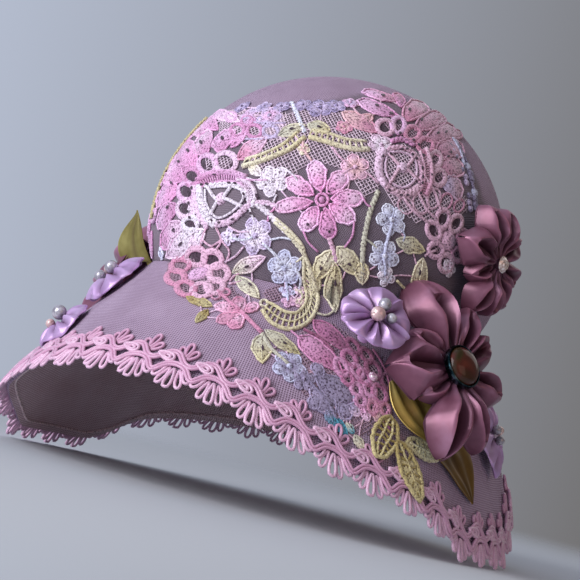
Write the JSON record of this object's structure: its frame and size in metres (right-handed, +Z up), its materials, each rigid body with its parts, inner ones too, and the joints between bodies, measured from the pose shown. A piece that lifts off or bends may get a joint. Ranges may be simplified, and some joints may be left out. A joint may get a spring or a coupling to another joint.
{
  "type": "wide-brim hat",
  "caption": "Bell-brimmed straw cloche with a tall round crown, a lace panel, gathered ribbon flowers with beads, olive ribbon leaves and a looped braid round the edge.",
  "frame": {"origin": "middle of the hat's box on the surface its rim rests on", "axes": "+Z up through the crown, the front of the hat toward -Y, the wearer's left toward +X"},
  "size_m": [0.2938, 0.2896, 0.236],
  "materials": {
    "straw": "woven straw, matt with a faint sheen",
    "braid": "silky cord",
    "lace": "matt cotton lace, hand-tinted",
    "lilac_satin": "satin ribbon",
    "rose_satin": "satin ribbon",
    "olive_ribbon": "silk ribbon",
    "lace_leaf": "matt cotton lace",
    "grey_pearl": "pearl lustre",
    "peach_pearl": "pearl lustre",
    "dark_glass": "polished",
    "crystal": "cut and polished",
    "pink_crystal": "cut and polished",
    "dark_metal": "dark polished metal"
  },
  "bodies": {
    "root": {"crown": "straw", "brim": "straw", "edge_braid": "braid", "lace": "lace", "cabochon_bezel": "dark_metal", "cabochon": "dark_glass", "crystal": "crystal", "lace_crystal": "pink_crystal", "ribbon_leaf": "olive_ribbon", "ribbon_tail": "olive_ribbon", "side_leaf": "olive_ribbon", "sprig_leaf_a": "lace_leaf", "sprig_leaf_b": "lace_leaf", "sprig_leaf_c": "lace_leaf", "lilac_flower": "lilac_satin", "rose_flower": "rose_satin", "upper_rose_flower": "rose_satin", "violet_flower": "lilac_satin", "side_lilac_flower": "lilac_satin", "side_rose_flower": "rose_satin", "low_lilac_flower": "lilac_satin", "peach_pearl": "peach_pearl", "grey_pearl": "grey_pearl", "small_grey_pearl": "grey_pearl", "violet_bead_a": "grey_pearl", "violet_bead_b": "peach_pearl", "violet_bead_c": "grey_pearl", "side_pearl_a": "grey_pearl", "side_pearl_b": "peach_pearl", "side_pearl_c": "grey_pearl", "low_pearl": "grey_pearl", "low_small_pearl": "peach_pearl"}
  },
  "joints": []
}
